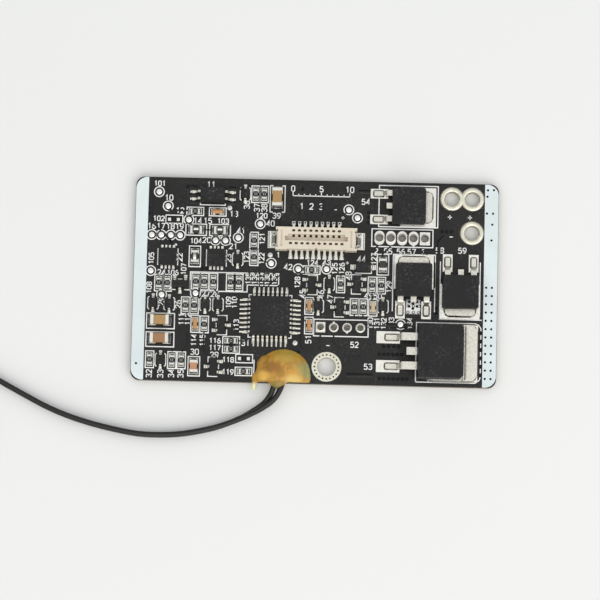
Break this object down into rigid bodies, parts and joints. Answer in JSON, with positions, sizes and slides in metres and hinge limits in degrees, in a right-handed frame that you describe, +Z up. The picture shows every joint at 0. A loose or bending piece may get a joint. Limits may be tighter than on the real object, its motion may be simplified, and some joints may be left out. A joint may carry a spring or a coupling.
{
  "type": "battery management board",
  "caption": "Flat circuit board that guards a battery pack: power switches, a controller, plated wire holes, a wafer connector and a temperature-sensor lead.",
  "frame": {"origin": "centre of the board's underside, on the surface it rests on", "axes": "+X along the board towards the wire holes, +Y across it towards the connector's side, +Z up out of the populated face"},
  "size_m": [0.1133, 0.0563, 0.006],
  "materials": {
    "board_mask": "black solder mask, satin gloss",
    "white_print": "white board print, matt",
    "tinned_copper": "tinned copper, dull bright",
    "mould_compound": "black epoxy mould compound, fine matt",
    "lead_metal": "tin-plated leads, satin",
    "ivory_nylon": "ivory moulded nylon",
    "capacitor_ceramic": "fired tan ceramic",
    "resistor_coat": "dark resistor glaze on white alumina",
    "amber_sealant": "set amber sealing compound, half clear",
    "lead_insulation": "black soft wire insulation",
    "bead_epoxy": "black dipped epoxy"
  },
  "bodies": {
    "root": {"circuit_board": "board_mask", "left_strip": "white_print", "right_strip": "white_print", "solder_lands": "tinned_copper", "test_points": "tinned_copper", "positive_wire_rings": "tinned_copper", "load_wire_ring": "tinned_copper", "cell_wire_ring": "tinned_copper", "row_five_rings": "tinned_copper", "row_four_rings": "tinned_copper", "battery_switch_body": "mould_compound", "battery_switch_frame": "lead_metal", "power_diode_body": "mould_compound", "power_diode_frame": "lead_metal", "charge_switch_body": "mould_compound", "charge_switch_frame": "lead_metal", "load_switch_body": "mould_compound", "load_switch_frame": "lead_metal", "controller_body": "mould_compound", "controller_leads": "lead_metal", "cell_switch_body_1": "mould_compound", "cell_switch_body_2": "mould_compound", "cell_switch_terminals_1": "lead_metal", "cell_switch_terminals_2": "lead_metal", "coupler_body": "mould_compound", "coupler_leads": "lead_metal", "connector_housing": "ivory_nylon", "upper_contacts": "lead_metal", "lower_contacts": "lead_metal", "left_anchor": "lead_metal", "right_anchor": "lead_metal", "large_capacitor_1": "capacitor_ceramic", "large_capacitor_2": "capacitor_ceramic", "large_capacitor_3": "capacitor_ceramic", "large_capacitor_ends_1": "lead_metal", "large_capacitor_ends_2": "lead_metal", "large_capacitor_ends_3": "lead_metal", "middle_capacitor": "capacitor_ceramic", "middle_capacitor_ends": "lead_metal", "small_capacitors": "capacitor_ceramic", "small_capacitor_ends": "lead_metal", "middle_resistors": "resistor_coat", "middle_resistor_ends": "lead_metal", "small_resistors": "resistor_coat", "small_resistor_ends": "lead_metal", "signal_transistor_1": "mould_compound", "signal_transistor_2": "mould_compound", "signal_transistor_3": "mould_compound", "signal_transistor_4": "mould_compound", "signal_transistor_5": "mould_compound", "signal_transistor_6": "mould_compound", "signal_leads": "lead_metal", "small_diodes": "mould_compound", "small_diode_leads": "lead_metal", "clamp_diode": "mould_compound", "clamp_diode_leads": "lead_metal", "sealing_blob": "amber_sealant", "sensor_lead": "lead_insulation", "lead_coil": "lead_insulation", "sensor_bead": "bead_epoxy"}
  },
  "joints": []
}
